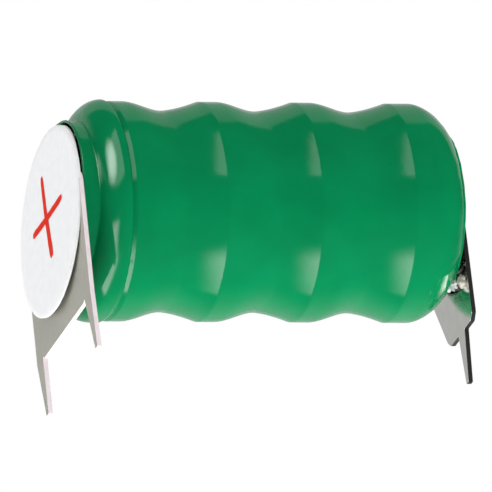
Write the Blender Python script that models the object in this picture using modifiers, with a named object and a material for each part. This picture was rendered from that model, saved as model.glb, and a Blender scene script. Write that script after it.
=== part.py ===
"""Memory back-up battery: four button cells in a heat-shrunk sleeve, with solder pins.

Run with: blender --background --python part.py

Frame: metres, +Z up. The solder pins point down, and the origin is on the plane of their
tips, midway along the pack. The pack's own axis runs along X at the height AXIS_Z, from the
positive end (-X, two pins) to the negative end (+X, one pin).

Every turned piece is drawn as a half profile of (radius, station) points, where the station
is measured along +X from the piece's own origin, and spun about the pack's axis.
"""

import bmesh
import bpy
from math import acos, cos, degrees, pi, radians, sin

MM = 0.001

# Stack of cells
CELL_COUNT = 4
CELL_PITCH = 5.4 * MM
CELL_HEIGHT = 5.2 * MM
CAN_RADIUS = 5.7 * MM
CAN_WALL = 0.25 * MM
FOOT_ROUND = (2.5 * MM, 2.1 * MM)      # radial and axial reach of the can's lower corner
CRIMP_ROUND = (1.7 * MM, 1.75 * MM)    # the same for the crimped corner
LID_RISE = 0.3 * MM                    # how far the lid stands above the crimped rim
LID_WALL = 0.22 * MM
LID_NECK_RADIUS = 3.6 * MM
SKIRT_RADIUS = 4.85 * MM
SKIRT_TOP = CELL_HEIGHT / 2 - 1.15 * MM
SKIRT_END = CELL_HEIGHT / 2 - 2.0 * MM
CLEARANCE = 0.06 * MM                  # air between pieces that touch on the real pack
TABLET_TOP = -0.45 * MM                # of the positive electrode, from the cell's middle
SEPARATOR_RADIUS = 5.1 * MM
SEPARATOR_SPAN = (-0.4 * MM, -0.15 * MM)
NEGATIVE_TABLET_RADIUS = 4.25 * MM
NEGATIVE_TABLET_SPAN = (-0.1 * MM, 1.15 * MM)
SPRING_RADII = (0.8 * MM, 1.6 * MM, 3.5 * MM)
SPRING_FOOT = 1.27 * MM
SPRING_SHEET = 0.15 * MM
LINK_SIZE = (3.0 * MM, 6.0 * MM)
WASHER_THICKNESS = 0.3 * MM

# Heat-shrunk sleeve
FILM = 0.15 * MM
CREST_RADIUS = 6.05 * MM
VALLEY_DEPTH = 0.51 * MM
VALLEY_HALF_WIDTH = 2.1 * MM
VALLEY_FLATNESS = 1.5
COLLAR_RADIUS = 4.93 * MM
LIP_FLARE = 0.05 * MM
LIP_LENGTH = 0.3 * MM
NEGATIVE_END_RADIUS = 4.83 * MM
POSITIVE_SHOULDER = (2.2 * MM, 1.65 * MM)    # radial and axial reach
NEGATIVE_SHOULDER = (2.19 * MM, 2.07 * MM)
POSITIVE_SHOULDER_POWER = 1.05               # 1 for an ellipse, more for a flatter slope
NEGATIVE_SHOULDER_POWER = 1.2

# Solder tags and the insulating disc
TAG_THICKNESS = 0.25 * MM
TAG_WIDTH = 10.7 * MM
TAG_HEAD_RADIUS = 4.7 * MM
TAG_SHOULDER_DROP = 7.1 * MM           # from the pack's axis down to the board seat
PIN_LENGTH = 3.0 * MM
PIN_ROOT = 1.15 * MM
PIN_TIP = 0.4 * MM
ROOT_RELIEF = 0.2 * MM
TAG_SHEAR_DROP = 0.4 * MM              # from the axis down to the tag's straight sides
POSITIVE_DISH_RADIUS = 2.6 * MM
NEGATIVE_DISH_RADIUS = 1.7 * MM
NEGATIVE_STRAIGHT_EDGE = -2.1 * MM
NEGATIVE_WING_EDGE = 4.2 * MM
NEGATIVE_HEAD_RISE = 0.8 * MM
NEGATIVE_CORNER = 0.4 * MM
WING_END = -3.8 * MM
SLANT_END = (2.45 * MM, -6.75 * MM)
SHOULDER_END = 2.0 * MM
PIN_LEAN = 0.35                        # share of its taper that an outer pin leans outwards
DISC_RADIUS = 5.3 * MM
DISC_THICKNESS = 0.15 * MM
DISC_DROP = 0.55 * MM
AXIS_Z = TAG_SHOULDER_DROP + PIN_LENGTH

# Stations along X
FIRST_CELL = -(CELL_COUNT - 1) / 2 * CELL_PITCH
LAST_CELL = -FIRST_CELL
POSITIVE_FACE = FIRST_CELL - CELL_HEIGHT / 2
NEGATIVE_FACE = LAST_CELL + CELL_HEIGHT / 2
POSITIVE_LIP = POSITIVE_FACE - 0.68 * MM
NEGATIVE_LIP = NEGATIVE_FACE - 0.08 * MM
POSITIVE_SHOULDER_START = FIRST_CELL - 0.86 * MM
NEGATIVE_SHOULDER_START = LAST_CELL + 0.6 * MM
POSITIVE_TAG = POSITIVE_LIP - CLEARANCE - TAG_THICKNESS    # its outer face
NEGATIVE_TAG = NEGATIVE_FACE + 0.36 * MM                   # its inner face
DISC_FACE = POSITIVE_TAG - CLEARANCE / 2 - DISC_THICKNESS

CELL_SIDES = 20
SLEEVE_SIDES = 30
VALLEY_STEPS = 3
MERGE = 1e-7


# --- helpers ---------------------------------------------------------------------------------

def clear_scene():
    for old in list(bpy.data.objects):
        bpy.data.objects.remove(old, do_unlink=True)


def new_collection(name):
    collection = bpy.data.collections.new(name)
    bpy.context.scene.collection.children.link(collection)
    return collection


def new_material(name, colour, roughness, metallic=0.0):
    material = bpy.data.materials.new(name)
    material.use_nodes = True
    shader = material.node_tree.nodes["Principled BSDF"]
    shader.inputs["Base Color"].default_value = (*colour, 1.0)
    shader.inputs["Roughness"].default_value = roughness
    shader.inputs["Metallic"].default_value = metallic
    return material


def arc(centre, reach, start, end, steps):
    """Points on an ellipse's arc, from the start angle to the end angle in degrees."""
    points = []
    for i in range(steps + 1):
        angle = radians(start + (end - start) * i / steps)
        points.append((centre[0] + reach[0] * cos(angle), centre[1] + reach[1] * sin(angle)))
    return points


def place_on_axis(obj, station):
    """Puts a piece drawn about its local Z onto the pack's axis, local +Z along world +X."""
    obj.location = (station, 0.0, AXIS_Z)
    obj.rotation_euler = (0.0, pi / 2, 0.0)


def turned(name, profile, station, material, collection, sides=CELL_SIDES, ring=False):
    """A half profile spun about the pack's axis. A ring's profile closes on itself."""
    edges = [(i, i + 1) for i in range(len(profile) - 1)]
    if ring:
        edges.append((len(profile) - 1, 0))
    mesh = bpy.data.meshes.new(name)
    mesh.from_pydata([(radius, 0.0, along) for radius, along in profile], edges, [])
    mesh.materials.append(material)
    obj = bpy.data.objects.new(name, mesh)
    collection.objects.link(obj)
    place_on_axis(obj, station)
    spin = obj.modifiers.new("spin", "SCREW")
    spin.axis = "Z"
    spin.angle = 2 * pi
    spin.steps = sides
    spin.render_steps = sides
    spin.use_merge_vertices = True
    spin.merge_threshold = MERGE
    spin.use_smooth_shade = True
    return obj


def plate(name, outline, station, thickness, material, collection):
    """A flat (y, z) outline about the pack's axis, from the station to station + thickness."""
    curve = bpy.data.curves.new(name, "CURVE")
    curve.dimensions = "2D"
    curve.fill_mode = "BOTH"
    curve.extrude = thickness / 2
    spline = curve.splines.new("POLY")
    spline.points.add(len(outline) - 1)
    for point, (y, z) in zip(spline.points, outline):
        point.co = (-z, y, 0.0, 1.0)
    spline.use_cyclic_u = True
    flat = bpy.data.objects.new(name + "_outline", curve)
    collection.objects.link(flat)
    place_on_axis(flat, station + thickness / 2)
    bpy.context.view_layer.update()
    depsgraph = bpy.context.evaluated_depsgraph_get()
    mesh = bpy.data.meshes.new_from_object(flat.evaluated_get(depsgraph))
    mesh.name = name
    weld(mesh)
    mesh.materials.clear()
    mesh.materials.append(material)
    obj = bpy.data.objects.new(name, mesh)
    obj.matrix_world = flat.matrix_world
    collection.objects.link(obj)
    bpy.data.objects.remove(flat, do_unlink=True)
    return obj


def weld(mesh):
    bm = bmesh.new()
    bm.from_mesh(mesh)
    bmesh.ops.remove_doubles(bm, verts=bm.verts, dist=MERGE)
    bmesh.ops.recalc_face_normals(bm, faces=bm.faces)
    bm.to_mesh(mesh)
    bm.free()


def combine(target, tool, operation):
    tool.hide_render = True
    tool.display_type = "WIRE"
    cut = target.modifiers.new(tool.name, "BOOLEAN")
    cut.operation = operation
    cut.solver = "EXACT"
    cut.object = tool


# --- the cell's pieces -----------------------------------------------------------------------

def can_profile():
    """A cup, open at +X, whose wall is crimped inwards over the gasket."""
    rim = CELL_HEIGHT / 2 - LID_RISE
    base = -CELL_HEIGHT / 2
    crimp_centre = (CAN_RADIUS - CRIMP_ROUND[0], rim - CRIMP_ROUND[1])
    foot_centre = (CAN_RADIUS - FOOT_ROUND[0], base + FOOT_ROUND[1])
    crimp_inside = (CRIMP_ROUND[0] - CAN_WALL, CRIMP_ROUND[1] - CAN_WALL)
    foot_inside = (FOOT_ROUND[0] - CAN_WALL, FOOT_ROUND[1] - CAN_WALL)
    inside = [(0.0, base + CAN_WALL)]
    inside += arc(foot_centre, foot_inside, -90, 0, 3)
    inside += arc(crimp_centre, crimp_inside, 0, 90, 2)
    outside = arc(crimp_centre, CRIMP_ROUND, 90, 0, 3)
    outside += arc(foot_centre, FOOT_ROUND, 0, -90, 4)
    outside.append((0.0, base))
    return inside + outside


def lid_profile():
    """A shallow hat: a flat crown, a neck, and a skirt that the gasket grips."""
    crown = CELL_HEIGHT / 2
    neck_end = crown - 0.78 * MM
    crown_round = 0.4 * MM
    neck_inside = LID_NECK_RADIUS - LID_WALL
    skirt_inside = SKIRT_RADIUS - LID_WALL
    outside = [(0.0, crown)]
    outside += arc(
        (LID_NECK_RADIUS - crown_round, crown - crown_round), (crown_round, crown_round), 90, 0, 1
    )
    outside += [
        (LID_NECK_RADIUS, neck_end),
        (LID_NECK_RADIUS + 0.2 * MM, SKIRT_TOP + 0.12 * MM),
        (SKIRT_RADIUS - 0.2 * MM, SKIRT_TOP),
        (SKIRT_RADIUS, SKIRT_TOP - 0.2 * MM),
        (SKIRT_RADIUS, SKIRT_END),
    ]
    inside = [
        (skirt_inside, SKIRT_END),
        (skirt_inside, SKIRT_TOP - LID_WALL),
        (LID_NECK_RADIUS, SKIRT_TOP - LID_WALL + 0.12 * MM),
        (neck_inside, neck_end - 0.15 * MM),
        (neck_inside, crown - crown_round),
        (neck_inside - 0.2 * MM, crown - LID_WALL),
        (0.0, crown - LID_WALL),
    ]
    return outside + inside


def gasket_profile():
    """The moulded ring between the lid and the can, with a foot under the lid's skirt."""
    crown = CELL_HEIGHT / 2
    rim = crown - LID_RISE
    crimp_centre = (CAN_RADIUS - CRIMP_ROUND[0], rim - CRIMP_ROUND[1])
    inset = CAN_WALL + CLEARANCE
    over_crimp = arc(crimp_centre, (CRIMP_ROUND[0] - inset, CRIMP_ROUND[1] - inset), 90, 0, 2)
    wall = CAN_RADIUS - inset
    neck = LID_NECK_RADIUS + CLEARANCE
    skirt = SKIRT_RADIUS + CLEARANCE
    collar = crimp_centre[0] - 2 * CLEARANCE
    outside = [(neck, rim + 0.1 * MM), (collar, rim + 0.1 * MM), (collar, rim - inset)]
    outside += over_crimp
    outside += [(wall, SKIRT_END - 0.3 * MM), (skirt - 0.5 * MM, SKIRT_END - 0.3 * MM)]
    inside = [
        (skirt - 0.5 * MM, SKIRT_END - 0.1 * MM),
        (skirt, SKIRT_END - 0.1 * MM),
        (skirt, SKIRT_TOP - 0.17 * MM),
        (skirt - 0.2 * MM, SKIRT_TOP + 0.07 * MM),
        (neck + 0.17 * MM, SKIRT_TOP + 0.2 * MM),
        (neck, crown - 0.75 * MM),
    ]
    return outside + inside


def positive_electrode_profile():
    """The pressed tablet that fills the can's foot."""
    foot_centre = (CAN_RADIUS - FOOT_ROUND[0], -CELL_HEIGHT / 2 + FOOT_ROUND[1])
    inset = CAN_WALL + 2 * CLEARANCE
    foot = arc(foot_centre, (FOOT_ROUND[0] - inset, FOOT_ROUND[1] - inset), 0, -90, 3)
    return [(0.0, TABLET_TOP), (foot[0][0], TABLET_TOP)] + foot + [(0.0, foot[-1][1])]


def tablet_profile(radius, bottom, top):
    """A plain round tablet, such as the separator or the negative electrode."""
    return [(0.0, top), (radius, top), (radius, bottom), (0.0, bottom)]


def contact_spring_profile():
    """A dished ring that presses the electrodes against the can."""
    high = CELL_HEIGHT / 2 - LID_WALL - CLEARANCE
    inner, bend, outer = SPRING_RADII
    return [
        (inner, high),
        (bend, high),
        (outer, SPRING_FOOT + SPRING_SHEET),
        (outer, SPRING_FOOT),
        (bend - 0.1 * MM, high - SPRING_SHEET),
        (inner, high - SPRING_SHEET),
    ]


def build_cell(number, station, looks, collection):
    prefix = f"cell_{number}_"
    turned(prefix + "can", can_profile(), station, looks["can"], collection)
    turned(prefix + "lid", lid_profile(), station, looks["can"], collection)
    turned(prefix + "gasket", gasket_profile(), station, looks["gasket"], collection, ring=True)
    positive = positive_electrode_profile()
    turned(prefix + "positive_electrode", positive, station, looks["electrode"], collection)
    separator = tablet_profile(SEPARATOR_RADIUS, *SEPARATOR_SPAN)
    turned(prefix + "separator", separator, station, looks["fleece"], collection)
    negative = tablet_profile(NEGATIVE_TABLET_RADIUS, *NEGATIVE_TABLET_SPAN)
    turned(prefix + "negative_electrode", negative, station, looks["electrode"], collection)
    spring = contact_spring_profile()
    turned(prefix + "contact_spring", spring, station, looks["nickel"], collection, ring=True)


# --- what joins and wraps the cells ----------------------------------------------------------

def build_cell_links(looks, collection):
    """Welded nickel strips, each from one lid to the next can."""
    width, length = LINK_SIZE
    gap = CELL_PITCH - CELL_HEIGHT
    thickness = gap / 2
    outline = [
        (-width / 2, -length / 2),
        (width / 2, -length / 2),
        (width / 2, length / 2),
        (-width / 2, length / 2),
    ]
    for i in range(CELL_COUNT - 1):
        station = FIRST_CELL + i * CELL_PITCH + CELL_HEIGHT / 2 + (gap - thickness) / 2
        plate(f"cell_link_{i + 1}", outline, station, thickness, looks["nickel"], collection)


def build_insulating_rings(looks, collection):
    """A washer on every crimped rim, which keeps the rim off the next can or the tag."""
    bottom = CELL_HEIGHT / 2 - LID_RISE + CLEARANCE
    top = bottom + WASHER_THICKNESS
    inner = CAN_RADIUS - CRIMP_ROUND[0] + CLEARANCE
    outer = NEGATIVE_END_RADIUS - FILM - 2 * CLEARANCE
    washer = [(inner, top), (outer, top), (outer, bottom), (inner, bottom)]
    for i in range(CELL_COUNT):
        station = FIRST_CELL + i * CELL_PITCH
        name = f"insulating_ring_{i + 1}"
        turned(name, washer, station, looks["fibre"], collection, ring=True)


def valley_radius(offset):
    """The sleeve's outer radius at a distance along the axis from the middle of a valley."""
    reach = min(abs(offset) / VALLEY_HALF_WIDTH, 1.0)
    sink = 0.5 * (1 + cos(pi * reach**VALLEY_FLATNESS))
    return CREST_RADIUS - VALLEY_DEPTH * sink


def shoulder(reach, power, start, direction, end_radius):
    """The (radius, station) points over an end of the stack, down to the end radius."""
    drop = (CREST_RADIUS - end_radius) / reach[0]
    last = degrees(acos((1 - drop) ** (1 / power)))
    points = []
    for along, out in arc((0.0, 0.0), (1.0, 1.0), 0, last, 5):
        radius = CREST_RADIUS - reach[0] * (1 - along**power)
        points.append((radius, start + direction * reach[1] * out**power))
    return points


def sleeve_outline():
    """(radius, station) along the outside of the sleeve, from the negative lip to the other."""
    negative = shoulder(
        NEGATIVE_SHOULDER, NEGATIVE_SHOULDER_POWER, NEGATIVE_SHOULDER_START, 1, NEGATIVE_END_RADIUS
    )
    positive = shoulder(
        POSITIVE_SHOULDER, POSITIVE_SHOULDER_POWER, POSITIVE_SHOULDER_START, -1, COLLAR_RADIUS
    )
    outline = [(NEGATIVE_END_RADIUS, NEGATIVE_LIP)]
    outline += reversed(negative)
    for i in reversed(range(CELL_COUNT - 1)):
        valley = FIRST_CELL + (i + 0.5) * CELL_PITCH
        for step in range(VALLEY_STEPS, -VALLEY_STEPS - 1, -1):
            offset = step / VALLEY_STEPS * VALLEY_HALF_WIDTH
            outline.append((valley_radius(offset), valley + offset))
    outline += positive
    outline += [
        (COLLAR_RADIUS, POSITIVE_LIP + LIP_LENGTH),
        (COLLAR_RADIUS + LIP_FLARE, POSITIVE_LIP),
    ]
    return outline


def build_sleeve(looks, collection):
    """An open film, given its thickness inwards by a Solidify modifier."""
    outline = sleeve_outline()
    sleeve = turned(
        "shrink_sleeve", outline, 0.0, looks["film"], collection, sides=SLEEVE_SIDES
    )
    film = sleeve.modifiers.new("film", "SOLIDIFY")
    film.thickness = FILM
    film.offset = -1.0
    film.use_even_offset = True


# --- the end hardware ------------------------------------------------------------------------

def pin_outline(middle, outer_edge=0):
    """A tapered pin's (y, z) points, from its root at higher y round the tip to lower y.

    With an outer edge of +1 or -1, that side of the pin stays nearly flush with the tag.
    """
    root = PIN_ROOT / 2
    tip = PIN_TIP / 2
    lean = outer_edge * (root - tip) * PIN_LEAN
    bottom = -TAG_SHOULDER_DROP - PIN_LENGTH
    return [
        (middle + root, -TAG_SHOULDER_DROP),
        (middle + lean + tip, bottom),
        (middle + lean - tip, bottom),
        (middle - root, -TAG_SHOULDER_DROP),
    ]


def positive_tag_outline():
    """The two-pin tag: a round head, straight sides, and a pin at each outer corner."""
    half = TAG_WIDTH / 2
    ear = half - TAG_HEAD_RADIUS
    head = arc((0.0, 0.0), (TAG_HEAD_RADIUS, TAG_HEAD_RADIUS), 175, 5, 16)
    right = pin_outline(half - PIN_ROOT / 2, outer_edge=1)
    left = pin_outline(-half + PIN_ROOT / 2, outer_edge=-1)
    relief = -TAG_SHOULDER_DROP + ROOT_RELIEF
    points = head + [(half - ear / 3, 0.1 * MM), (half, -TAG_SHEAR_DROP)]
    points += right
    points += [
        (right[-1][0] - ROOT_RELIEF / 2, relief),
        (right[-1][0] - ROOT_RELIEF, -TAG_SHOULDER_DROP),
        (left[0][0] + ROOT_RELIEF, -TAG_SHOULDER_DROP),
        (left[0][0] + ROOT_RELIEF / 2, relief),
    ]
    points += left
    points += [(-half, -TAG_SHEAR_DROP), (-half + ear / 3, 0.1 * MM)]
    return points


def negative_tag_outline():
    """The one-pin tag: straight on its -Y side, and cut off at a slant on its +Y side."""
    head_radius = (NEGATIVE_WING_EDGE - NEGATIVE_STRAIGHT_EDGE) / 2
    centre = ((NEGATIVE_WING_EDGE + NEGATIVE_STRAIGHT_EDGE) / 2, NEGATIVE_HEAD_RISE)
    points = arc(centre, (head_radius, head_radius), 180, 0, 12)
    points += [
        (NEGATIVE_WING_EDGE, WING_END),
        SLANT_END,
        (SHOULDER_END, -TAG_SHOULDER_DROP),
    ]
    points += pin_outline(0.0)
    points += [
        (NEGATIVE_STRAIGHT_EDGE + NEGATIVE_CORNER, -TAG_SHOULDER_DROP),
        (NEGATIVE_STRAIGHT_EDGE, -TAG_SHOULDER_DROP + NEGATIVE_CORNER),
    ]
    return points


def dish(tag, name, outer_face, direction, depth, radius, cutters):
    """Presses a round weld dish into a tag, towards the cell that it is welded to.

    The direction is +1 where the cell lies along +X from the tag and -1 where it lies along -X.
    """
    wall = TAG_THICKNESS
    slope = 0.75 * depth
    floor = outer_face + direction * (wall + depth)
    boss = [
        (radius, outer_face + direction * 0.5 * wall),
        (radius, outer_face + direction * wall),
        (radius - slope, floor),
    ]
    hollow_floor = floor - direction * wall
    hollow = [
        (radius - 0.7 * wall + slope, outer_face - direction * depth),
        (radius - 0.7 * wall, outer_face),
        (radius - 0.7 * wall - slope, hollow_floor),
    ]
    for label, rim, operation in (("boss", boss, "UNION"), ("hollow", hollow, "DIFFERENCE")):
        profile = [(0.0, rim[0][1])] + rim + [(0.0, rim[-1][1])]
        if direction > 0:
            profile.reverse()
        tool = turned(f"{name}_{label}", profile, 0.0, tag.data.materials[0], cutters)
        combine(tag, tool, operation)


def build_tags(looks, collection, cutters):
    positive = plate(
        "positive_tag", positive_tag_outline(), POSITIVE_TAG, TAG_THICKNESS, looks["tin"],
        collection,
    )
    inner_face = POSITIVE_TAG + TAG_THICKNESS
    depth = POSITIVE_FACE - CLEARANCE - inner_face
    dish(positive, "positive_dish", POSITIVE_TAG, 1, depth, POSITIVE_DISH_RADIUS, cutters)
    negative = plate(
        "negative_tag", negative_tag_outline(), NEGATIVE_TAG, TAG_THICKNESS, looks["tin"],
        collection,
    )
    depth = NEGATIVE_TAG - CLEARANCE - NEGATIVE_FACE
    outer_face = NEGATIVE_TAG + TAG_THICKNESS
    dish(negative, "negative_dish", outer_face, -1, depth, NEGATIVE_DISH_RADIUS, cutters)


def build_disc(looks, collection):
    """The paper disc that covers the positive tag. It sits a little low on the end."""
    profile = tablet_profile(DISC_RADIUS, 0.0, DISC_THICKNESS)
    disc = turned(
        "positive_disc", profile, DISC_FACE, looks["paper"], collection, sides=SLEEVE_SIDES
    )
    disc.location.z -= DISC_DROP


def main():
    clear_scene()
    pack = new_collection("button_cell_pack")
    cutters = new_collection("cutters")
    looks = {
        "film": new_material("green_film", (0.0, 0.24, 0.09), 0.18),
        "can": new_material("nickel_plated_steel", (0.62, 0.61, 0.58), 0.28, 1.0),
        "nickel": new_material("nickel", (0.6, 0.58, 0.54), 0.35, 1.0),
        "tin": new_material("tinned_steel", (0.42, 0.41, 0.37), 0.45, 1.0),
        "paper": new_material("white_paper", (0.9, 0.9, 0.9), 0.85),
        "fibre": new_material("fish_paper", (0.16, 0.19, 0.15), 0.8),
        "gasket": new_material("nylon", (0.75, 0.74, 0.68), 0.5),
        "electrode": new_material("pressed_powder", (0.05, 0.05, 0.05), 0.9),
        "fleece": new_material("fleece", (0.85, 0.84, 0.8), 0.95),
    }
    for i in range(CELL_COUNT):
        build_cell(i + 1, FIRST_CELL + i * CELL_PITCH, looks, pack)
    build_cell_links(looks, pack)
    build_insulating_rings(looks, pack)
    build_sleeve(looks, pack)
    build_tags(looks, pack, cutters)
    build_disc(looks, pack)


main()
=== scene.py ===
from math import cos, pi, radians, sin

import bmesh
import bpy
from mathutils import Matrix, Vector, noise


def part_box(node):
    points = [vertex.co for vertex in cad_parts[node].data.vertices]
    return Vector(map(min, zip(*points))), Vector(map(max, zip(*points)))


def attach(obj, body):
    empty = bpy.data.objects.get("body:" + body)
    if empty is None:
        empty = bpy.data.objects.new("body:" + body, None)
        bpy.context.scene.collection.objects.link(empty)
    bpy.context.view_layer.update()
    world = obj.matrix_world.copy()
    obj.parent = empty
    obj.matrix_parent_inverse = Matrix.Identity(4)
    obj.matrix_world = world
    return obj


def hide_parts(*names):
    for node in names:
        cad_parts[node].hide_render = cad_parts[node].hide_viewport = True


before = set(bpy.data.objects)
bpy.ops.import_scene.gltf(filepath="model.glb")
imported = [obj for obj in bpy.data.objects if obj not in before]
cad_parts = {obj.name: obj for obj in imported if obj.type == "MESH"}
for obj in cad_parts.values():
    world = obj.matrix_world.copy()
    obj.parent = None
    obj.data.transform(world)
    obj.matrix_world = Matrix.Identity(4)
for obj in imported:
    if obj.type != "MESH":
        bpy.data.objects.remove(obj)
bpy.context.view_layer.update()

MM = 0.001
X_AXIS = Vector((1.0, 0.0, 0.0))

# --- places read from the frame --------------------------------------------------------------

CELLS = range(1, 5)
sleeve_low, sleeve_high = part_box("shrink_sleeve")
AXIS_Z = (sleeve_low.z + sleeve_high.z) / 2
CREST = (sleeve_high.z - sleeve_low.z) / 2
POSITIVE_LIP = sleeve_low.x
CAN_BASE = {i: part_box(f"cell_{i}_can")[0].x for i in CELLS}
CROWN = {i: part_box(f"cell_{i}_lid")[1].x for i in CELLS}
CENTRE = {i: (CAN_BASE[i] + CROWN[i]) / 2 for i in CELLS}
CELL_HEIGHT = CROWN[1] - CAN_BASE[1]
PITCH = CENTRE[2] - CENTRE[1]
CAN_RADIUS = (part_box("cell_1_can")[1].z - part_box("cell_1_can")[0].z) / 2
disc_low, disc_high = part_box("positive_disc")
DISC_Z = (disc_low.z + disc_high.z) / 2
DISC_RADIUS = (disc_high.z - disc_low.z) / 2
positive_low, positive_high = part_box("positive_tag")
negative_low, negative_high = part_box("negative_tag")

# --- sizes of the fine surfaces --------------------------------------------------------------

TAG_THICKNESS = 0.25 * MM
SHEET_ROUND = 0.035 * MM
TAG_SHOULDER_DROP = 7.1 * MM
FILM = 0.15 * MM
VALLEY_DEPTH = 0.51 * MM
COLLAR_RADIUS = 4.93 * MM
LIP_FLARE = 0.05 * MM
FILM_SIDES = 144
FILM_STEP = 0.09 * MM
TURNED_SIDES = 96

# --- the main viewing angle ------------------------------------------------------------------

YAW = radians(17.5)         # how far the pack's axis leans out of the picture plane
PITCH_DOWN = radians(22.7)  # how far below the pack the camera looks from
SLOPE = radians(0.39)       # how far the pack's axis falls from left to right in the picture
PICTURE_HEIGHT = 27.06 * MM
CAMERA_DISTANCE = 0.95
SENSOR = 36.0
TARGET_STATION = -0.56 * MM
TARGET_DROP = 1.86 * MM

NEAR = Vector((0.0, -cos(PITCH_DOWN), -sin(PITCH_DOWN)))
ABOVE = Vector((0.0, -sin(PITCH_DOWN), cos(PITCH_DOWN)))


def make_camera():
    """A long lens that looks up at the pack from its pin side, positive end nearest."""
    level = X_AXIS * cos(YAW) + NEAR * sin(YAW)
    back = NEAR * cos(YAW) - X_AXIS * sin(YAW)
    right = level * cos(SLOPE) + ABOVE * sin(SLOPE)
    up = ABOVE * cos(SLOPE) - level * sin(SLOPE)
    target = Vector((TARGET_STATION, 0.0, AXIS_Z)) - up * TARGET_DROP
    place = Matrix((right, up, back)).transposed().to_4x4()
    place.translation = target + back * CAMERA_DISTANCE
    data = bpy.data.cameras.new("camera")
    data.sensor_width = SENSOR
    data.lens = CAMERA_DISTANCE * SENSOR / PICTURE_HEIGHT
    data.clip_start = 0.01
    data.clip_end = 10.0
    camera = bpy.data.objects.new("camera", data)
    camera.matrix_world = place
    bpy.context.scene.collection.objects.link(camera)
    bpy.context.scene.camera = camera


# --- light, floor and background -------------------------------------------------------------

LAMP_EDGE = 0.93           # cosine of the angle from a lamp's middle at which its glow ends
LAMP_CORE = 0.998          # and at which it is fully bright
UPPER_LAMP_GLOW = 8.0
LOWER_LAMP_GLOW = 9.0
UPPER_WINDOW_GLOW = 1.7
LOWER_WINDOW_GLOW = 4.5
UPPER_CARD_GLOW = 0.35
LOWER_CARD_GLOW = 0.42
MIDDLE_CARD_GLOW = 0.5
DARK_GLOW = 0.02
CARD_TURN = (0.62, 0.78)   # how the card's edge direction splits between +X and away from NEAR
CARD_END = 0.30            # the share of X past which the card's edge falls away
CARD_FALL = 1.15
WINDOW_TILT = 0.088        # slants of the upper window's two edges
WINDOW_FOOT_TILT = 0.506
LIGHT_BELOW = (0.70, 2.25)
LIGHT_ABOVE = 0.35
LIGHT_ALONG = (0.81, 1.14)  # from the positive end to the negative end
UPPER_LAMP = (X_AXIS * -0.80 + NEAR * 0.10 + ABOVE * 0.59).normalized()
LOWER_LAMP = (X_AXIS * -0.87 - NEAR * 0.39 - ABOVE * 0.30).normalized()


class Sky:
    """Node helpers for the surround, whose values depend only on the direction looked in."""

    def __init__(self):
        world = bpy.data.worlds.new("studio")
        world.use_nodes = True
        world.cycles.sampling_method = "NONE"
        bpy.context.scene.world = world
        self.nodes, self.links = world.node_tree.nodes, world.node_tree.links
        self.nodes.clear()
        self.direction = self.nodes.new("ShaderNodeTexCoord").outputs["Generated"]

    def feed(self, socket, value):
        if isinstance(value, (int, float)):
            socket.default_value = value
        else:
            self.links.new(value, socket)

    def along(self, axis):
        node = self.nodes.new("ShaderNodeVectorMath")
        node.operation = "DOT_PRODUCT"
        self.links.new(self.direction, node.inputs[0])
        node.inputs[1].default_value = axis
        return node.outputs["Value"]

    def math(self, operation, first, second):
        node = self.nodes.new("ShaderNodeMath")
        node.operation = operation
        self.feed(node.inputs[0], first)
        self.feed(node.inputs[1], second)
        return node.outputs["Value"]

    def step(self, value, low, high, start=0.0, end=1.0):
        """Eases from start to end while the value goes from low to high."""
        node = self.nodes.new("ShaderNodeMapRange")
        node.interpolation_type = "SMOOTHSTEP"
        self.feed(node.inputs["Value"], value)
        node.inputs["From Min"].default_value = low
        node.inputs["From Max"].default_value = high
        node.inputs["To Min"].default_value = start
        node.inputs["To Max"].default_value = end
        return node.outputs["Result"]

    def product(self, *values):
        result = values[0]
        for value in values[1:]:
            result = self.math("MULTIPLY", result, value)
        return result

    def background(self, strength):
        node = self.nodes.new("ShaderNodeBackground")
        node.inputs["Color"].default_value = (1.0, 1.0, 1.0, 1.0)
        self.feed(node.inputs["Strength"], strength)
        return node.outputs["Background"]

    def choose(self, share, first, second):
        node = self.nodes.new("ShaderNodeMixShader")
        self.links.new(share, node.inputs["Fac"])
        self.links.new(first, node.inputs[1])
        self.links.new(second, node.inputs[2])
        return node.outputs["Shader"]


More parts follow.
